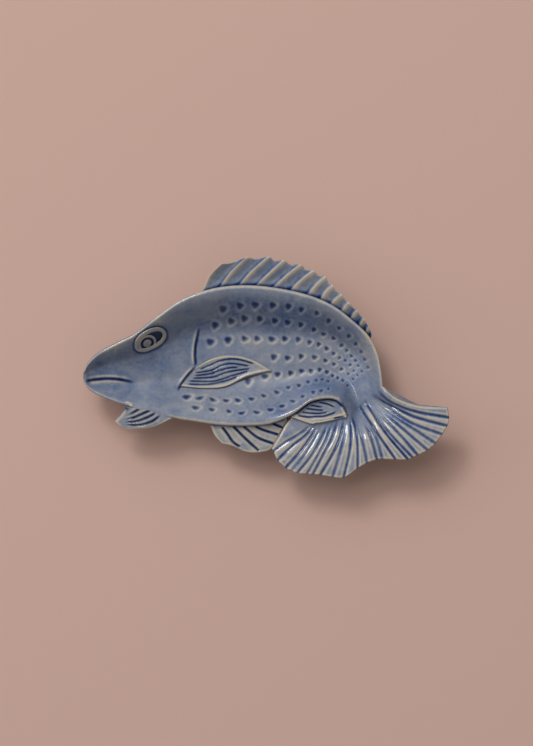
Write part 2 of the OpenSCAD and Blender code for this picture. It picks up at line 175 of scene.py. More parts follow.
def back_rim_z(g):
    """Height of the back rim: the full height, less a drop at the snout and one at the tail."""
    return rim_h - snout_drop * (1 - head_share(g)) - tail_drop * tail_share(g)


def belly_rim_z(g):
    """Height of the belly rim: a little under the full height, falling smoothly along the lobe."""
    return rim_h - belly_drop - lobe_drop * smooth((g - lobe_from) / (last_rib - lobe_from))


def basin_z(g, w):
    """Height of the basin: the straight line between the two rims, less the depth of the basin times a
    smooth wall profile that is flat on the floor and flat again at the rim."""
    depth = (rim_h - foot_h - floor_t) * head_share(g) * (1 - tail_fill * tail_share(g))
    wall = smooth((np.abs(w) - floor_share) / (1 - floor_share))
    return belly_rim_z(g) + (back_rim_z(g) - belly_rim_z(g)) * (w + 1) / 2 - depth * (1 - wall)


def edge_drop(inside, radius):
    """Quarter-circle rounding: how far the surface falls at a distance inside the edge."""
    q = np.clip(1 - inside / radius, 0, 1)
    return radius * (1 - np.sqrt(1 - q * q))


def basin_at(xy):
    """Rib number and w of the basin over plan points, by Newton steps from a coarse nearest guess."""
    gs, ws = np.meshgrid(np.linspace(0, last_rib, 70), np.linspace(-1, 1, 31), indexing="ij")
    guess = basin_plan(gs, ws).reshape(-1, 2)
    flat = xy.reshape(-1, 2)
    nearest = ((flat[:, None] - guess) ** 2).sum(-1).argmin(1)
    g, w = gs.ravel()[nearest], ws.ravel()[nearest]
    for _ in range(6):
        miss = flat - basin_plan(g, w)
        dg = (basin_plan(g + 0.01, w) - basin_plan(g - 0.01, w)) / 0.02
        dw = (spline(back_rail, g) - spline(belly_rail, g)) / 2
        det = dg[:, 0] * dw[:, 1] - dg[:, 1] * dw[:, 0]
        g = g + (miss[:, 0] * dw[:, 1] - miss[:, 1] * dw[:, 0]) / det
        w = w + (dg[:, 0] * miss[:, 1] - dg[:, 1] * miss[:, 0]) / det
    return g.reshape(xy.shape[:-1]), w.reshape(xy.shape[:-1])


# Rows of scale marks from the gill to the tail: (length, breadth, slant) at the first and the last
# mark of the row, in picture units and degrees, then the marks.
scale_rows = [
    ((6.0, 5.4, -8), (3.2, 2.6, -40), [
        (223, 309), (240, 305.8), (255.4, 305), (272.7, 305.4), (288.7, 306.7), (301.5, 309.6),
        (317, 313.3), (329, 320.8), (339.6, 328), (349.3, 336), (356.3, 344), (361.8, 351.7),
        (365.3, 359.4), (368.5, 367.4)]),
    ((5.6, 5.0, -12), (2.6, 2.3, -40), [
        (215, 325), (231, 321), (244.5, 318.6), (259.6, 318.8), (275, 320.5), (288, 322.4),
        (301.2, 324.7), (314.4, 329.4), (324, 334), (334.2, 338.2), (342.2, 345.3), (347.4, 350.4),
        (352.2, 356.2), (356.3, 360.6), (358.9, 365.8), (362.4, 371.5)]),
    ((6.4, 5.2, -10), (2.4, 2.2, -40), [
        (210, 341.7), (227.8, 339.7), (244.5, 338.5), (257.3, 338.5), (272, 339), (285, 338.7),
        (298.5, 339.3), (310, 342.2), (319.3, 344.4), (327.4, 348.5), (334.2, 353.6), (340.3, 357.8),
        (346, 360.6), (351, 365), (354.4, 371), (358, 375.4)]),
    ((6.0, 4.4, -8), (2.6, 2.3, -35), [
        (274, 357), (288, 358), (301.5, 356.5), (315, 357.2), (326, 360.6), (334.6, 364.2),
        (342.2, 369.3), (349, 374), (353.8, 379.2)]),
    ((6.4, 4.4, 0), (2.4, 2.2, -35), [
        (248, 381.5), (265, 376.7), (277.7, 374.4), (291, 373.3), (302, 371.1), (311.5, 371.2),
        (320.3, 369.8), (327.6, 372), (333.3, 375.7), (338.4, 378), (343.5, 380.5), (348.3, 385.6)]),
    ((6.8, 3.3, -8), (3.0, 2.4, 10), [
        (186.4, 397), (199.5, 398.2), (212.6, 399.8), (226.2, 400.7), (237.7, 400.3), (251.5, 399),
        (263.8, 396), (277, 392.5), (288.5, 387.7), (299.4, 385.5), (308.4, 382), (316.7, 380.5),
        (322.8, 379.4), (328.5, 381.2)]),
    ((7.0, 2.9, -8), (3.6, 2.3, 12), [
        (195.6, 407.7), (212, 409.7), (229, 411.3), (241.8, 413), (256.7, 412.3), (270.5, 409.7),
        (282.3, 406), (293, 401.3), (302.7, 396.5), (313.4, 392.2), (321.4, 390.8), (328.5, 389)]),
]
gill_cut = [
    [(199.3, 325), (197.3, 335), (195.3, 345), (194.6, 355), (195.2, 364), (194.2, 368)],
    [(195.2, 364), (194, 368), (188.5, 374.5), (183.2, 381), (179.2, 387), (176.6, 392)]]
gill_lip = [
    [(197.2, 326), (195, 335), (193, 345), (192.2, 355), (192.8, 363), (191.8, 367.5)],
    [(192.8, 363), (191.6, 367.5), (186, 373.5), (180.6, 380.5), (176.4, 387)]]
mouth_cut = [
    [(85, 381.6), (92, 380.1), (100, 379.2), (108, 378.9), (116, 379.3), (124, 380.5), (130, 382),
     (135.5, 383.6)]]
mouth_lips = [
    [(86, 378.8), (92, 377.5), (100, 376.5), (108, 376.2), (116, 376.6), (124, 377.9), (132, 380)],
    [(88, 383.6), (96, 382.4), (108, 381.6), (118, 382.1), (128, 384.2)]]
throat_lip = [[(124.5, 401.3), (128, 402.2), (131, 404.2), (131.3, 406.8)]]
eye_edge = mm([
    (134, 346), (135.6, 340), (139.5, 335), (146, 330.5), (152, 328), (158.5, 327), (163.5, 329),
    (166, 333), (165.3, 338.5), (161, 344), (155, 348), (149, 350.8), (143, 352.2), (138, 351.8),
    (134.8, 349.4)])
iris_mid = mm((146.8, 343.2))


def closed_spline(p, n):
    """Catmull-Rom curve round a closed loop of points, at n even steps."""
    wrapped = np.concatenate([p[-2:], p, p[:3]])
    return spline(wrapped, 2 + np.arange(n) * len(p) / n)


# Glaze: a glossy reactive blue. Its colour follows its thickness, from the beige of the clay on the
# ridges to navy where it pools, and clouds drift through it. In some places the same value also
# carries painted light and painted shade.
def glaze_material():
    """The glaze: its colour is a ramp over the pool value and two noises. Its roughness rises from 0.14
    to 0.40 with the satin value. Two more noises vary its strength of colour and ripple its skin."""
    material = bpy.data.materials.new("blue_glaze")
    material.use_nodes = True
    nodes, links = material.node_tree.nodes, material.node_tree.links
    shader = nodes["Principled BSDF"]
    shader.inputs["IOR"].default_value = 1.52
    satin = nodes.new("ShaderNodeAttribute")
    satin.attribute_name = "satin"
    gloss = nodes.new("ShaderNodeMapRange")
    gloss.inputs["To Min"].default_value, gloss.inputs["To Max"].default_value = 0.14, 0.40
    links.new(satin.outputs["Fac"], gloss.inputs["Value"])
    links.new(gloss.outputs["Result"], shader.inputs["Roughness"])
    coords = nodes.new("ShaderNodeTexCoord")
    thickness = nodes.new("ShaderNodeAttribute")
    thickness.attribute_name = "pool"

    def noise(scale, detail, distortion):
        """Clouds from 0 to 1 that lie still on the piece."""
        node = nodes.new("ShaderNodeTexNoise")
        node.inputs["Scale"].default_value = scale
        node.inputs["Detail"].default_value = detail
        node.inputs["Distortion"].default_value = distortion
        links.new(coords.outputs["Object"], node.inputs["Vector"])
        return node.outputs["Fac"]

    def add_scaled(base, value, factor):
        """base + (value - 0.5) * factor"""
        node = nodes.new("ShaderNodeMath")
        node.operation = "MULTIPLY_ADD"
        links.new(value, node.inputs[0])
        node.inputs[1].default_value = factor
        offset = nodes.new("ShaderNodeMath")
        offset.operation = "SUBTRACT"
        links.new(base, offset.inputs[0])
        offset.inputs[1].default_value = factor / 2
        links.new(offset.outputs[0], node.inputs[2])
        return node.outputs[0]

    clouds, speckle = noise(48, 5, 2.2), noise(480, 4, 0.6)
    amount = add_scaled(thickness.outputs["Fac"], clouds, 0.46)
    amount = add_scaled(amount, speckle, 0.30)
    ramp = nodes.new("ShaderNodeValToRGB")
    stops = ramp.color_ramp.elements
    colours = [
        (0.00, (0.46, 0.40, 0.32)), (0.20, (0.37, 0.35, 0.325)), (0.40, (0.215, 0.235, 0.28)),
        (0.56, (0.150, 0.180, 0.25)), (0.76, (0.058, 0.080, 0.160)), (1.00, (0.011, 0.016, 0.048))]
    while len(stops) < len(colours):
        stops.new(1.0)
    for stop, (place, colour) in zip(stops, colours):
        stop.position = place
        stop.color = colour + (1.0,)
    links.new(amount, ramp.inputs["Fac"])
    tint = nodes.new("ShaderNodeHueSaturation")
    spread = nodes.new("ShaderNodeMapRange")
    spread.inputs["From Min"].default_value, spread.inputs["From Max"].default_value = 0.35, 0.65
    spread.inputs["To Min"].default_value, spread.inputs["To Max"].default_value = 0.85, 1.35
    links.new(noise(30, 2, 1.0), spread.inputs["Value"])
    links.new(spread.outputs["Result"], tint.inputs["Saturation"])
    links.new(ramp.outputs["Color"], tint.inputs["Color"])
    links.new(tint.outputs["Color"], shader.inputs["Base Color"])
    bump = nodes.new("ShaderNodeBump")
    bump.inputs["Strength"].default_value = 0.12
    bump.inputs["Distance"].default_value = 0.0006
    links.new(noise(160, 2, 0.0), bump.inputs["Height"])
    links.new(bump.outputs["Normal"], shader.inputs["Normal"])
    return material


glaze = glaze_material()

# The top of the body: ribs at even steps, closer together at the head, and columns closer at the rims.
fine = np.linspace(0, last_rib, 2000)
steps = np.linalg.norm(np.diff(basin_plan(fine, 0 * fine), axis=0), axis=1)
way = np.concatenate([[0.0], np.cumsum(steps * np.where(fine[1:] < 6, 0.8, 1.0))])
ribs = np.interp(np.linspace(0, way[-1], 400), way, fine)
even = np.linspace(-1, 1, 206)
g, w = np.meshgrid(ribs, 1.5 * even - 0.5 * even ** 3, indexing="ij")
plan = basin_plan(g, w)
half = np.linalg.norm(spline(back_rail, g) - spline(belly_rail, g), axis=-1) / 2
at_throat = span(g, 3.6, 0.5, 5.6, 0.6)
keep = np.where(w < 0, (1 - smooth((g - 13.0) / 2.0)) * (1 - at_throat), 1.0)
from_snout = np.linalg.norm(plan - basin_plan(0 * g, w), axis=-1) + 1e-6
inside = np.minimum((1 - np.abs(w)) * half, from_snout)
height = basin_z(g, w) - edge_drop(inside, roll) * keep

# Each mark is a rounded triangle, a little uneven by hand: a pit with dark glaze in it and thin glaze
# round it. The pit is darker on its upper left, which is painted shade, and the halo paler on its lower
# right, which is painted light.
rng = np.random.default_rng(7)
pits, dark, halo_glaze_and_light = np.zeros((3,) + g.shape)
for first, final, marks in scale_rows:
    for n, mark in enumerate(marks):
        share = n / (len(marks) - 1)
        length, breadth, slant = (1 - share) * np.array(first) + share * np.array(final)
        turn = np.radians(slant + rng.normal(0, 10))
        length, breadth = length * rng.normal(1, 0.08), breadth * rng.normal(1, 0.08)
        off = plan - mm(mark)
        along = (off[..., 0] * np.cos(turn) + off[..., 1] * np.sin(turn)) / (length * 0.28)
        across = (off[..., 1] * np.cos(turn) - off[..., 0] * np.sin(turn)) / (breadth * 0.32)
        sides = [across, -0.5 * across + 0.866 * along, -0.5 * across - 0.866 * along]
        corners = sum(np.maximum(side, 0) ** 2 for side in sides)
        reach = np.sqrt(0.65 * corners + 0.3 * (along ** 2 + across ** 2))
        # low_right weights painted shade into the pit's upper left and painted light onto its lower right.
        low_right = np.clip((off[..., 0] - off[..., 1]) / (0.5 * length), -1, 1)
        pits = np.maximum(pits, np.exp(-reach ** 2))
        faded = 1 - 0.4 * smooth(2 * share - 1) * (breadth < 4)
        dark = np.maximum(dark, np.exp(-reach ** 3) * (0.8 - 0.35 * low_right) * faded)
        glow = np.exp(-((reach - 1.5) / 0.6) ** 2) * (0.62 + 0.38 * low_right)
        halo_glaze_and_light = np.maximum(halo_glaze_and_light, glow * min(1.0, breadth / 3.2) * faded)
gill = line_field(plan, gill_cut, 0.75, (6.0, 3.0))
lip = line_field(plan, gill_lip, 0.8, (6.0, 5.0))
mouth = line_field(plan, mouth_cut, 0.7, (2.0, 6.0))
lips = line_field(plan, mouth_lips, 0.9, (4.0, 6.0))
edge_loop = closed_spline(eye_edge, 120)
eye_groove = picture(edge_loop[np.r_[0:120:4, 0]])
eye_line = line_field(plan, [eye_groove], 1.1, (1e-3, 1e-3))
eye_mid = edge_loop.mean(0)
from_eye, edge_from_mid = plan - eye_mid, edge_loop - eye_mid
edge_turn = np.arctan2(edge_from_mid[:, 1], edge_from_mid[:, 0])
order = np.argsort(edge_turn)
edge_reach = np.interp(np.arctan2(from_eye[..., 1], from_eye[..., 0]), edge_turn[order],
                       np.linalg.norm(edge_from_mid, axis=1)[order], period=2 * np.pi)
in_eye = smooth((edge_reach - np.linalg.norm(from_eye, axis=-1)) / 0.5)
notch_lip = line_field(plan, throat_lip, 0.7, (2.0, 0.2))
height += -0.28 * pits + 0.08 * halo_glaze_and_light - 0.9 * gill + 0.45 * lip - 0.9 * mouth + 0.4 * lips
height += -0.35 * eye_line - 0.3 * in_eye + 0.5 * notch_lip

# How thick the glaze lies: thin on the crests and lips, thick in the pits, cuts and hollows. Painted
# shade and painted light are mixed in: painted shade across the middle of the head, on the back wall,
# in the throat notch and on the upper left of each pit, and painted light on the upper wall of the
# head, on the wall by the tail and on the lower right of each pit's halo.
crest_keep = np.where(w < 0, (1 - at_throat) * (1 - smooth((g - 14.0) / 0.8)), 1.0)
crest = bell(inside - 1.1, 0.8) * crest_keep
belly_crest = crest * (w < 0) * span(g, 5.5, 1.5, 14.5, 1.5)
below_lobe = bell(inside, 1.1) * (w < 0) * smooth((g - 14.4) / 0.8)
snout = bell(np.linalg.norm(plan - mm((97, 364)), axis=-1), 6.0)
# Painted shade: darker across the middle of the head, towards the snout.
head_mid_shade = (1 - smooth((g - 4.5) / 1.5)) * span(w, -0.35, 0.3, 0.45, 0.3)
# Painted light: paler on the upper wall of the head, which lies in shade.
head_wall_light = smooth((w - 0.1) / 0.3) * (1 - smooth((g - 4.5) / 2))
back_edge = smooth((w - 0.7) / 0.2) * (1 - smooth((g - 15) / 2))
# Painted shade: darker on the back wall of the basin, which faces away from the lamps.
back_wall_shade = span(w, 0.2, 0.3, 0.75, 0.2) * span(g, 6, 2, 12, 2.5)
belly_wall = span(g, 8.5, 2, 13, 1.5) * smooth((-w - 0.35) / 0.2) * smooth((inside - 2.5) / 2)
# Painted light: paler on the back wall near the tail, which faces away from the lamps.
tail_wall_light = span(g, 12.5, 2, 15, 2) * smooth((w - 0.2) / 0.4)
outline = bell(inside, 0.55) * smooth((w + 0.3) / 0.2) * (1 - smooth((g - 4.0) / 2.0))
# Pooled glaze with painted shade in the notch where the throat fin leaves the jaw.
notch = bell(np.linalg.norm(plan - mm((126, 408.3)), axis=-1), 1.2)
thin = [0.8 * halo_glaze_and_light * (1 - dark), lip * (1 - gill), lips * (1 - mouth), notch_lip]
thick = [np.minimum(1.2 * dark, 0.95), gill, mouth, 0.85 * eye_line, in_eye, notch,
         0.6 * outline, 0.75 * below_lobe]
pool = 0.50 - 0.26 * crest - 0.18 * belly_crest + 0.15 * snout + 0.12 * back_wall_shade - 0.12 * tail_wall_light
pool += 0.09 * head_mid_shade + 0.08 * belly_wall - 0.06 * back_edge - 0.08 * head_wall_light
pool += -0.36 * np.maximum.reduce(thin)
pool += (1.0 - pool) * np.maximum.reduce(thick)

# The underside: the wall is thickest halfway down and levels off over the oval foot.
foot_mid, foot_half = np.array([1.98, 5.985]), np.array([46.0, 18.0])
cos_w = -np.cos(np.pi * np.linspace(0, 1, 30))
gu, wu = np.meshgrid(ribs, cos_w, indexing="ij")
under_plan = basin_plan(gu, wu)
wall = rim_t + 10.0 * np.abs(wu) * (1 - np.abs(wu))
free = np.maximum(foot_h, basin_z(gu, wu) - wall)
foot_off = (under_plan - foot_mid) / foot_half
under_z = foot_h + (free - foot_h) * smooth((np.linalg.norm(foot_off, axis=-1) - 1) / 0.35)
body_top, body_under = np.dstack([plan, height]), np.dstack([under_plan, under_z])
body = solid("dish_body_glazed", body_top, body_under, pool, glaze)
satin = smooth((inside - 2.0) / 4.0) * (1 - smooth((g - 14.0) / 1.5))
satin = np.concatenate([satin, 0 * under_z], 1).ravel().astype(np.float32)
body.data.attributes.new("satin", "FLOAT", "POINT").data.foreach_set("value", satin)
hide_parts("dish_body")

# Foot ring: an oval coil of the same clay, luted under the floor and wiped clean of glaze so that
# the dish doesn't stick to the kiln shelf.
def clay_material():
    """Bare clay: two browns mixed by a fine grain, matt."""
    material = bpy.data.materials.new("bare_clay")
    material.use_nodes = True
    nodes, links = material.node_tree.nodes, material.node_tree.links
    shader = nodes["Principled BSDF"]
    shader.inputs["Roughness"].default_value = 0.75
    grain = nodes.new("ShaderNodeTexNoise")
    grain.inputs["Scale"].default_value = 900
    coords = nodes.new("ShaderNodeTexCoord")
    links.new(coords.outputs["Object"], grain.inputs["Vector"])
    mix = nodes.new("ShaderNodeMix")
    mix.data_type = "RGBA"
    mix.inputs["A"].default_value = (0.40, 0.29, 0.19, 1)
    mix.inputs["B"].default_value = (0.53, 0.40, 0.27, 1)
    links.new(grain.outputs["Fac"], mix.inputs["Factor"])
    links.new(mix.outputs["Result"], shader.inputs["Base Color"])
    return material


clay = clay_material()


def loop_solid(name, sections, pool, material):
    """Closed mesh from sections that follow each other round a loop: (turns, section points, xyz in mm)."""
    count, sides = sections.shape[:2]
    i, k = np.meshgrid(np.arange(count), np.arange(sides), indexing="ij")
    a, b = i * sides + k, i * sides + (k + 1) % sides
    c, d = ((i + 1) % count) * sides + (k + 1) % sides, ((i + 1) % count) * sides + k
    faces = np.stack([a, b, c, d], -1).reshape(-1, 4).tolist()
    return add_piece(name, sections.reshape(-1, 3), faces, pool.ravel(), material)


turn = np.linspace(0, 2 * np.pi, 160, endpoint=False)[:, None]
ring_inset = np.array([0.5, 0.12, 0.0, 0.0, 5.0, 5.0, 4.88, 4.5])[None]
ring_height = np.array([0.0, 0.12, 0.5, foot_h, foot_h, 0.5, 0.12, 0.0])[None] + 0 * turn
ring_x = foot_mid[0] + (foot_half[0] - ring_inset) * np.cos(turn)
ring_y = foot_mid[1] + (foot_half[1] - ring_inset) * np.sin(turn)
ring = np.dstack([ring_x, ring_y, ring_height])
foot = loop_solid("foot_ring_clay", ring, 0 * ring_height, clay)
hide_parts("foot_ring")


# Dorsal fin: a strip of clay luted along the back, its rays pinched up into ridges that end in
# points, with hollow flutes between them. The glaze breaks beige on the ridges.
def ray_grid(rays, numbers, shares):
    """Surface over rays of points: splines across the rays at the given ray numbers, then along them."""
    rays = np.asarray(rays, float)
    across = spline(rays, numbers)
    return np.moveaxis(spline(np.moveaxis(across, 1, 0), shares * (rays.shape[1] - 1)), 0, 1)


def ray_numbers(count, each):
    """Ray numbers from the first to the last of count rays, in so many steps a gap, closer together near
    every ray, f - 0.6 sin(2 pi f) / (2 pi), with three more at each end."""
    f = np.arange((count - 1) * each + 1) / each
    f = f - 0.6 / (2 * np.pi) * np.sin(2 * np.pi * f)
    return np.unique(np.concatenate([f, [0.02, 0.05, 0.09], count - 1 - np.array([0.02, 0.05, 0.09])]))


def edge_distance(plan, first=True, last=True):
    """Distance in mm of each grid point from the outer edge (last column) and, if asked, from the first
    and last rows."""
    out = np.linalg.norm(plan - plan[:, -1:], axis=-1)
    if first:
        out = np.minimum(out, np.linalg.norm(plan - plan[:1], axis=-1))
    if last:
        out = np.minimum(out, np.linalg.norm(plan - plan[-1:], axis=-1))
    return out


fin_t, fin_taper = 4.5, 1.5
dorsal_roots = [
    6.96, 7.72, 8.45, 9.07, 9.68, 10.3, 10.93, 11.46, 11.93, 12.43, 12.9, 13.37, 13.8, 14.15]
dorsal_tips = mm([
    [(209, 276), (221, 264)], [(233, 271), (247.5, 257.5)], [(253.5, 270.5), (269, 257)],
    [(271, 272.5), (284.5, 260.5)], [(288, 275), (301, 265)], [(302.5, 279.5), (314, 271)],
    [(317, 284.5), (325.5, 277)], [(327, 291), (333, 286)], [(337, 298.5), (342, 295)],
    [(345.8, 306), (349.3, 303)], [(354.3, 313.8), (357.3, 311)], [(361.8, 321.8), (364, 319.5)],
    [(367.8, 328.6), (369, 327)], [(371.6, 336.5), (372, 335.5)]])
dorsal_rays = np.concatenate([spline(back_rail, dorsal_roots)[:, None], dorsal_tips], 1)
a = ray_numbers(len(dorsal_rays), 14)
r = 1 - (1 - np.linspace(0, 1, 48)) ** 1.8
past = np.where(a < len(dorsal_rays) - 1, a % 1, 0.0)
hollow = np.minimum(smooth(past / 0.62), smooth((1 - past) / 0.38))
reach = 1 - 0.10 * np.sin(np.pi * a) ** 2
fin_plan = np.stack([ray_grid(dorsal_rays, a[n:n + 1], r * reach[n])[0] for n in range(len(a))])
lower = np.minimum(np.floor(a), len(dorsal_rays) - 2)
gap = np.linalg.norm(ray_grid(dorsal_rays, lower + 1, r) - ray_grid(dorsal_rays, lower, r), axis=-1)
after, before = past[:, None] * gap, (1 - past)[:, None] * gap
ridge = np.maximum(bell(after, 1.7), bell(before, 0.9) * (past > 0)[:, None])
crease = bell(before - 2.0, 1.0) * (past > 0.4)[:, None] * smooth(gap / 4)
root_z = back_rim_z(np.interp(a, np.arange(len(dorsal_roots)), dorsal_roots))[:, None] - 4.0
level = root_z + 6.5 * r
base = bell(np.linalg.norm(fin_plan - fin_plan[:, :1], axis=-1), 0.8 + 1.5 * past[:, None])
inside = edge_distance(fin_plan)
flute = hollow[:, None] * smooth(gap / 4) * smooth(3 * r)
fin_top = level - 1.5 * flute + 0.3 * ridge * smooth(4 * r) - 0.5 * base - edge_drop(inside, 1.1)
fin_pool = 0.45 - 0.48 * ridge * smooth(6 * r) + 0.24 * crease + 0.42 * base * (1 - 0.6 * ridge)
fin_pool = fin_pool - 0.15 * np.exp(-inside / 0.8)
fin_under = np.dstack([fin_plan, level - fin_t + fin_taper * r])[:, ::4]
dorsal = solid("dorsal_fin_glazed", np.dstack([fin_plan, fin_top]), fin_under, fin_pool, glaze)
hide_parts("dorsal_fin")

# Tail and anal fin: one broad fan of clay that runs on from the end of the basin and turns up to its
# edge. Its rays are cut with a tool, so dark lines of glaze run out between rounded ridges.
fan_rays = mm([
    [(383, 386), (396, 397.5), (418, 405.3), (447.5, 407.2)],
    [(377.5, 390.9), (392, 402.5), (416, 411.5), (449, 417.3)],
    [(373, 394.8), (390, 405.2), (415, 417), (447.3, 425.8)],
    [(371, 396.6), (388, 408.4), (412, 423), (442, 434.2)],
    [(369.8, 397.6), (386, 411.3), (409, 426), (435.5, 443.2)],
    [(368.8, 398.5), (384, 412.6), (405, 430.8), (427.5, 450)],
    [(367.8, 399.4), (381, 415), (398, 432.5), (418, 455)],
    [(366.7, 400.3), (377, 416.5), (391, 434.5), (412.5, 457.3)],
    [(365.5, 401.4), (373, 413.5), (387, 435), (407.5, 459.4)],
    [(360.3, 406.2), (367.5, 418), (379, 435.3), (395.5, 459.5)],
    [(359, 407.3), (366.3, 421), (375.8, 437), (382.7, 459)],
    [(357.5, 408.7), (363.7, 421.5), (370.8, 438), (376.8, 459.5)],
    [(354.5, 411.2), (358.6, 426), (362.7, 442), (367, 463)],
    [(351.2, 414), (355.5, 428), (357.5, 447), (357.5, 468.5)],
    [(349.5, 415.4), (351, 432), (349.5, 452), (343.8, 477.5)],
    [(346, 417.9), (344.7, 434), (340, 453.5), (332.5, 477)],
    [(344, 418.3), (340.5, 435), (333.5, 452), (320.5, 475)],
    [(338, 419.2), (332.5, 437), (324.5, 452.2), (313, 474.3)],
    [(332.5, 420.7), (327, 437.5), (318.5, 454), (306.8, 474)],
    [(328.5, 421.6), (321, 439), (311.5, 455.5), (297.5, 473)],
    [(322.5, 422.8), (315.5, 438), (305.5, 453.8), (291.5, 471)],
    [(319.5, 423.4), (310.5, 437.6), (299.5, 452.2), (285.5, 467.6)],
    [(315.8, 423.6), (306, 434.6), (293, 445.8), (277.5, 460)],
    [(311, 424.2), (300, 433), (287.5, 441), (273.5, 451.5)],
    [(291, 417.5), (285, 425.3), (279.5, 435.3), (271.7, 448.5)]])
# Where along the ray each cut starts, and how deep and wide it is.
cut_start = np.array([
    2, .05, .1, .35, .35, .4, .4, .45, .05, .05, .5, .45, .5,
    .1, .15, .4, .1, .1, .15, .15, .2, .15, .1, .1, 2])
cut_depth = np.array([
    0, .8, .8, .7, .6, .7, .7, .7, .95, .85, .5, .7, .6,
    .75, .75, .6, .8, .7, .6, .7, .35, .75, .75, .6, 0])


def fan_root_z(a):
    """Height of the anal fin's root under the lobe, climbing from the tail towards the belly."""
    return 20.0 + 2.0 * smooth((a - 14) / 10)


def fan_part(name, first, last, node):
    """The fan between two ray numbers. Height: from the end of the basin up to the edge as
    1 - (1 - r)^3 (1 + 3r), plus the basin's slope fading as r (1 - r)^5, with a groove
    exp(-(d / 0.85)^2) at every ray, d in mm, and a low crown between rays."""
    a = ray_numbers(len(fan_rays), 14)
    a = np.concatenate([[first], a[(a > first + 1e-6) & (a < last - 1e-6)], [last]])
    r = 1 - (1 - np.linspace(0, 1, 110)) ** 1.7
    plan = ray_grid(fan_rays, a, r)
    lower = np.clip(np.floor(a), 0, len(fan_rays) - 2)
    gap = np.linalg.norm(ray_grid(fan_rays, lower + 1, r) - ray_grid(fan_rays, lower, r), axis=-1)
    near_ray = np.round(a).astype(int)
    d = np.abs(a - near_ray)[:, None] * gap
    there = smooth((r[None] - cut_start[near_ray][:, None]) / 0.25 + 0.5) * cut_depth[near_ray][:, None]
    groove = bell(d, 0.85) * there
    shoulder = bell(d - 1.75, 0.75) * there
    across_end = (383 - picture(fan_rays[:15, 0])[:, 0]) / 35.4
    root_w = 1 - 2 * np.clip(np.interp(a, np.arange(15), across_end), 0, 1)
    root = np.where(a > 14, fan_root_z(a), basin_z(np.full(len(a), float(last_rib)), root_w))
    edge = 28.0 - 2.5 * smooth((a - 4) / 14)
    heading = plan[:, 1] - plan[:, 0]
    step = 2.0 * heading / np.linalg.norm(heading, axis=1)[:, None]
    g_in, w_in = basin_at(plan[:, 0] - step)
    lean = np.where(a < 14, (root - basin_z(g_in, np.clip(w_in, -1, 1))) / 2.0, 0.0)
    size = np.linalg.norm(heading, axis=1) / (r[1] - r[0])
    level = root[:, None] + (edge - root)[:, None] * (1 - (1 - r) ** 3 * (1 + 3 * r))[None]
    level = level + (lean * size)[:, None] * (r * (1 - r) ** 5)[None]
    crown = 0.25 * np.sin(np.pi * (a % 1)) ** 2
    inside = edge_distance(plan, first == 0, last == len(fan_rays) - 1)
    top = level - 0.65 * groove + crown[:, None] * smooth(gap / 4) * smooth(3 * r)[None]
    top = top - edge_drop(inside, 1.2 + (roll - 1.2) * (1 - smooth(3 * r)) * (first == 0))
    pool = 0.48 - 0.03 * smooth(2 * r)[None] - 0.44 * shoulder * smooth(2.5 * r)[None]
    pool = pool - 0.32 * bell(inside - 0.8, 0.7)
    pool = pool + (0.9 - pool) * np.clip(1.15 * groove, 0, 1)
    under = np.dstack([plan, level - fin_t + fin_taper * r[None]])[:, ::5]
    under = np.concatenate([under, np.dstack([plan, level - fin_t + fin_taper])[:, -1:]], 1)
    piece = solid(name, np.dstack([plan, top]), under, pool, glaze)
    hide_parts(node)


fan_part("tail_fin_glazed", 0.0, 11.0, "tail_fin")
fan_part("anal_fin_glazed", 11.0, 24.0, "anal_fin")

# Lobe of the anal fin: a leaf of clay tucked under the belly rim and luted onto the fan's root. Its
# lower edge is doubled and its face scored with short lines.
s = np.linspace(0, 1, 150)
on_rim, on_fan = 11.1 + (17.0 - 11.1) * s, 24.0 - (24.0 - 14.4) * s
upper, lower = spline(belly_rail, on_rim), spline(fan_rays[:, 0], on_fan)
v = smooth(np.linspace(0, 1, 60)) * 0.5 + np.linspace(0, 1, 60) * 0.5
lobe_plan = upper[None] + (lower - upper)[None] * v[:, None, None]
lobe_cuts = [
    [(296.8, 415.4), (304, 416.6), (310, 417), (316, 416.6), (322.4, 416.4), (327.2, 415.4),
     (334, 413), (338, 411)],
    [(301.2, 411.8), (308, 413), (314.4, 413.4), (320, 413.4), (325.2, 412.6), (330, 411)],
    [(305.2, 408.4), (310, 409), (314.4, 409.6), (320, 410.2), (326, 410.2)],
    [(309.2, 405), (314.4, 405.8), (319.2, 406.6), (324, 407.2)],
    [(318, 402.2), (322.4, 402.8), (328, 404.2), (333.2, 406.4), (336.5, 408.6)],
    [(333, 418.6), (338, 417.6), (343, 417), (347.5, 416.9)]]
cuts = line_field(lobe_plan, lobe_cuts, 0.5, (1.5, 3.0))
from_low = np.linalg.norm(lobe_plan - lower[None], axis=-1)
from_high = np.linalg.norm(lobe_plan - upper[None], axis=-1)
inside = np.minimum(from_low, np.linalg.norm(lobe_plan - lobe_plan[:, -1:], axis=-1))
level = fan_root_z(on_fan)[None] + 1.3 - 1.2 * (1 - v[:, None])
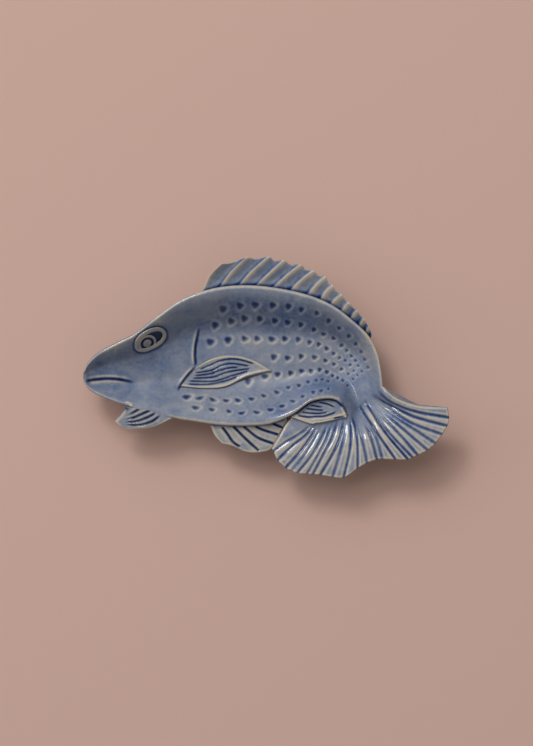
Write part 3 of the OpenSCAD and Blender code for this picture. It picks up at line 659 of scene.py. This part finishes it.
# Two pale ridges along the lower edge: the one 0.9 mm in is a painted highlight, the one 2.5 mm in is glaze
# running thin.
border_glaze_and_highlight = bell(from_low - 0.9, 0.7) + bell(from_low - 2.5, 0.7)
at_end = smooth((s - 0.62) / 0.12)[None]
end_band = bell(from_high - 1.3, 0.8) * at_end
lobe_top = level + 0.6 * border_glaze_and_highlight + 0.5 * end_band - 0.6 * cuts - edge_drop(inside, 0.9)
lobe_top = lobe_top - 0.5 * bell(from_high, 0.8)
lobe_pool = 0.42 - 0.34 * border_glaze_and_highlight - 0.36 * end_band + 0.5 * bell(from_high, 1.1) * (1 - at_end)
lobe_pool = lobe_pool - 0.25 * line_field(lobe_plan, lobe_cuts, 1.4, (1.5, 3.0))
lobe_pool = lobe_pool + (1 - lobe_pool) * line_field(lobe_plan, lobe_cuts, 0.6, (1.5, 3.0))
lobe_under = np.dstack([lobe_plan, level - fin_t])[:, ::3]
lobe = solid("anal_fin_lobe_glazed", np.dstack([lobe_plan, lobe_top]), lobe_under, lobe_pool,
             glaze)
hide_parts("anal_fin_lobe")

# Pelvic fin: a small fan of clay in front of the anal fin, luted on below the belly rim, with a few
# deep cuts where the glaze pools.
pelvic_roots = [10.78, 10.0, 9.4, 8.96, 8.75, 8.5, 8.3, 8.08, 7.68]
pelvic_tips = mm([
    [(287.4, 420), (288, 421.3)], [(277, 427), (283.4, 427.8)], [(267, 431), (279.8, 435)],
    [(257, 436), (275, 445)], [(250, 437.5), (269, 450.6)], [(243, 437), (257.5, 452.8)],
    [(235, 436.5), (246, 452)], [(227, 435.5), (233, 446.3)], [(214.5, 435.5), (222, 444)]])
pelvic_cuts = [
    [(222, 427), (227.5, 434), (233, 442), (240, 447)],
    [(233, 426), (245.8, 439), (259, 451)],
    [(243.3, 426), (257.5, 437.5), (274, 444)],
    [(255, 426), (263.3, 430), (279, 435)],
    [(272.5, 423.5), (283.5, 428)]]


def rail_fin(name, node, roots, tips, cuts, step, rise, depth, fade, tone, base_pool, spot=None):
    """A fin on rays of [root on the belly rail, middle, tip]: height is the rim's less a step, plus the
    rise along the ray, with the cuts taken out and the edge rounded. The glaze has an even tone, thicker in
    the cuts, at the base and at a spot, and thinner beside the cuts and along the edge. At the throat
    fin the spot is painted shade as well as thick glaze."""
    rays = np.concatenate([spline(belly_rail, roots)[:, None], tips], 1)
    a = ray_numbers(len(rays), 16)
    r = 1 - (1 - np.linspace(0, 1, 70)) ** 1.35
    plan = ray_grid(rays, a, r)
    root_z = belly_rim_z(np.interp(a, np.arange(len(roots)), roots))[:, None] - step
    level = root_z + rise * r
    groove = line_field(plan, cuts, 0.6, fade)
    shoulder = line_field(plan, cuts, 1.9, fade) * (1 - line_field(plan, cuts, 1.0, fade))
    base = bell(np.linalg.norm(plan - plan[:, :1], axis=-1), 1.0) * base_pool
    inside = edge_distance(plan)
    top = level - depth * groove + 0.5 * shoulder - edge_drop(inside, 1.1)
    pool = tone - 0.48 * shoulder - 0.34 * bell(inside - 0.8, 0.8) + 0.45 * base
    if spot is not None:
        pool = pool + spot(plan)
    pool = pool + (1 - pool) * np.clip(1.1 * line_field(plan, cuts, 0.85, fade), 0, 1)
    under = np.dstack([plan, level - fin_t + fin_taper * r])[:, np.r_[0:69:4, 69]]
    piece = solid(name, np.dstack([plan, top]), under, pool, glaze)
    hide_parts(node)


rail_fin("pelvic_fin_glazed", "pelvic_fin", pelvic_roots, pelvic_tips, pelvic_cuts,
         step=4.0, rise=-2.0, depth=0.7, fade=(0.5, 0.5), tone=0.36, base_pool=1.0)

# Throat fin: a pointed leaf under the gill, drawn out of the clay at the edge of the body, with four
# cuts and a dark notch where it leaves the jaw: pooled glaze with painted shade in it.
throat_roots = [6.05, 5.65, 5.3, 4.85, 4.3, 3.75, 3.5]
throat_tips = mm([
    [(152, 427.3), (128, 429.5)], [(145, 426.5), (122.5, 427.3)], [(138.5, 423.3), (119, 425.5)],
    [(132, 419.5), (116.8, 424)], [(126.3, 416.7), (115.3, 422.8)], [(121.7, 415), (114.7, 421.7)],
    [(122.2, 413.9), (114.6, 421.5)]])
throat_cuts = [
    [(141.6, 407.7), (135.3, 411.4), (129.8, 414.5), (124.8, 417.3)],
    [(152.5, 409.8), (146.6, 412), (139.8, 415), (133.5, 417.7), (127, 419.5), (121.6, 420.5)],
    [(157, 411.8), (151.2, 415.5), (144.4, 418.6), (136.2, 421.4), (127.5, 422.3), (121.2, 422.1)],
    [(161.2, 414.5), (153.5, 420.5), (144.4, 424), (137, 425.3), (128.5, 424.7), (123, 423.8)]]


def throat_notch(plan):
    """Thick glaze and painted shade in the notch: 0.7 exp(-(d / 1.5)^2), d in mm from its middle."""
    return 0.7 * bell(np.linalg.norm(plan - mm((126.3, 408.2)), axis=-1), 1.5)


rail_fin("throat_fin_glazed", "throat_fin", throat_roots, throat_tips, throat_cuts,
         step=0.0, rise=-4.0, depth=0.6, fade=(3.0, 7.0), tone=0.45, base_pool=0.0, spot=throat_notch)

# Pectoral fin: a leaf of clay laid on the basin wall behind the gill and pressed down, with raised
# edges and long cuts.
pectoral_top = mm([(195.5, 367.5), (211, 358.7), (230, 355), (251, 359), (271, 370)])
pectoral_low = mm([(180, 386.5), (203, 388.5), (225, 386.8), (247, 376.8), (271, 371)])
pectoral_cuts = [
    [(198, 370), (210, 365), (220, 360.8), (230.5, 359), (241, 360), (256, 364.4)],
    [(193.6, 373.3), (211, 370.3), (221, 365.6), (231.5, 363.6), (251, 366.4)],
    [(192.6, 376), (210, 373.8), (220, 370.3), (230.5, 367.7), (241, 367.4)],
    [(190.5, 378.5), (211, 377.4), (221, 374.4), (231.5, 371.3), (252, 368.4)],
    [(187, 381), (211, 381.5), (221, 379.5), (231.5, 376), (250, 370.6)],
    [(185.4, 384), (200.8, 384.6), (211, 384), (221, 382), (231.5, 379), (238.5, 375.4)]]
u = np.linspace(0, 4, 200)
edge_a, edge_b = spline(pectoral_top, u), spline(pectoral_low, u)
v = 0.6 * np.linspace(0, 1, 100) + 0.4 * smooth(np.linspace(0, 1, 100))
pec_plan = edge_a[None] + (edge_b - edge_a)[None] * v[:, None, None]
pec_g, pec_w = basin_at(pec_plan[::3, ::3])
seat = basin_z(pec_g, pec_w)
seat = np.stack([np.interp(np.arange(200), np.arange(0, 200, 3), row) for row in seat])
seat = np.stack([np.interp(np.arange(100), np.arange(0, 100, 3), column) for column in seat.T]).T
cuts = line_field(pec_plan, pectoral_cuts, 0.5, (3.0, 3.0))
wide = line_field(pec_plan, pectoral_cuts, 0.6, (3.0, 3.0))
from_top = np.linalg.norm(pec_plan - edge_a[None], axis=-1)
from_low = np.linalg.norm(pec_plan - edge_b[None], axis=-1)
inside = np.minimum(from_top, from_low)
band = bell(inside - 1.1, 0.9)
pec_top = seat + 1.5 + 0.5 * band - 0.6 * cuts - edge_drop(inside, 0.9)
pec_pool = 0.36 - 0.26 * band
pec_pool = pec_pool + (0.95 - pec_pool) * wide
pec_under = np.dstack([pec_plan, seat - 0.3])[:, ::4]
pectoral = solid("pectoral_fin_glazed", np.dstack([pec_plan, pec_top]), pec_under, pec_pool,
                 glaze)
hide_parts("pectoral_fin")


# Eye: an egg-shaped band of clay, a ring inside it and a flat pupil, all pressed onto the head. Glaze
# pools navy between them.
def eye_band(name, node, outer, inner, high):
    """A raised band between two loops of plan points: a rounded section of the given height, with the
    glaze thin on its crown and thicker down its sides."""
    share = np.array([0.0, 0.0, 0.06, 0.15, 0.3, 0.5, 0.7, 0.85, 0.94, 1.0, 1.0])
    lift = np.array([-0.6, 0.15, 0.5, 0.75, 0.95, 1.0, 0.95, 0.75, 0.5, 0.15, -0.6]) * high
    section = outer[:, None] + (inner - outer)[:, None] * share[None, :, None]
    g, w = basin_at(section)
    pool = 0.16 + 0.35 * (1 - np.clip(lift / high, 0, 1))[None] + 0 * g
    piece = loop_solid(name, np.dstack([section, basin_z(g, w) + lift[None]]), pool, glaze)
    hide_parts(node)


tangent = np.roll(edge_loop, -1, 0) - np.roll(edge_loop, 1, 0)
inward = np.stack([tangent[:, 1], -tangent[:, 0]], -1) / np.linalg.norm(tangent, axis=1)[:, None]
eye_band("eye_ring_glazed", "eye_ring", edge_loop, edge_loop + 2.6 * inward, 1.2)
turn = -np.linspace(0, 2 * np.pi, 80, endpoint=False)
circle = np.stack([np.cos(turn), np.sin(turn)], -1)
lean = np.array([[1.0, 0.12], [0.12, 0.92]])
eye_band("eye_iris_glazed", "eye_iris", iris_mid + 5.4 * circle @ lean, iris_mid + 3.8 * circle @ lean, 1.0)
share = np.array([1.0, 1.0, 0.92, 0.75, 0.5, 0.2])
lift = np.array([-0.6, 0.4, 0.75, 0.95, 1.05, 1.1])
disc = iris_mid + 2.5 * (circle @ lean)[:, None] * share[None, :, None]
g, w = basin_at(disc)
pupil_points = np.dstack([disc, basin_z(g, w) + lift[None]])
count, sides = pupil_points.shape[:2]
i, k = np.meshgrid(np.arange(count), np.arange(sides - 1), indexing="ij")
n = (i + 1) % count
walls = np.stack([i * sides + k, i * sides + k + 1, n * sides + k + 1, n * sides + k], -1)
first = np.arange(count) * sides
caps = [first.tolist(), (first[::-1] + sides - 1).tolist()]
pupil_pool = np.tile([0.5, 0.5, 0.35, 0.26, 0.28, 0.3], count)
pupil = add_piece("eye_pupil_glazed", pupil_points.reshape(-1, 3), walls.reshape(-1, 4).tolist() + caps,
                  pupil_pool, glaze, crisp=False)
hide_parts("eye_pupil")

# Stage: a plain dusty pink board. A small bright light and a wide soft one stand high on the upper left,
# a weak one low on the left, and an even glow fills in from all round.
board = bpy.data.materials.new("board")
board.use_nodes = True
board.node_tree.nodes["Principled BSDF"].inputs["Base Color"].default_value = (0.50, 0.335, 0.285, 1)
board.node_tree.nodes["Principled BSDF"].inputs["Roughness"].default_value = 0.85
floor_mesh = bpy.data.meshes.new("floor")
floor_mesh.from_pydata([(-3, -3, 0), (3, -3, 0), (3, 3, 0), (-3, 3, 0)], [], [(0, 1, 2, 3)])
floor_mesh.materials.append(board)
floor = bpy.data.objects.new("floor", floor_mesh)
bpy.context.scene.collection.objects.link(floor)


def soft_light(name, place, size, power, mirrored):
    """A rectangular light that faces the dish. One that isn't mirrored leaves no highlight in the glaze."""
    lamp = bpy.data.lights.new(name, "AREA")
    lamp.shape = "RECTANGLE"
    lamp.size, lamp.size_y = size
    lamp.energy = power
    light = bpy.data.objects.new(name, lamp)
    light.visible_glossy = mirrored
    light.location = place
    light.rotation_euler = (-Vector(place)).to_track_quat("-Z", "Y").to_euler()
    bpy.context.scene.collection.objects.link(light)


soft_light("key", (-1.60, 2.75, 3.20), (1.10, 1.10), 70, True)
soft_light("sky", (-1.25, 2.30, 3.00), (4.00, 4.00), 96, False)
soft_light("side", (-3.40, 0.50, 1.70), (2.40, 1.80), 26, False)
world = bpy.data.worlds.new("studio")
world.use_nodes = True
world.node_tree.nodes["Background"].inputs["Color"].default_value = (1.0, 0.93, 0.87, 1)
world.node_tree.nodes["Background"].inputs["Strength"].default_value = 0.34
bpy.context.scene.world = world

# Camera: straight down on the dish with a long lens, as in the photo, and the picture upright with the
# fish's back up.
lens = bpy.data.cameras.new("top_view")
lens.lens = 158.6
camera = bpy.data.objects.new("top_view", lens)
camera.location = (0.0003, -0.0033, 2.0)
bpy.context.scene.collection.objects.link(camera)
bpy.context.scene.camera = camera
bpy.context.scene.view_settings.view_transform = "Standard"

bpy.context.view_layer.update()
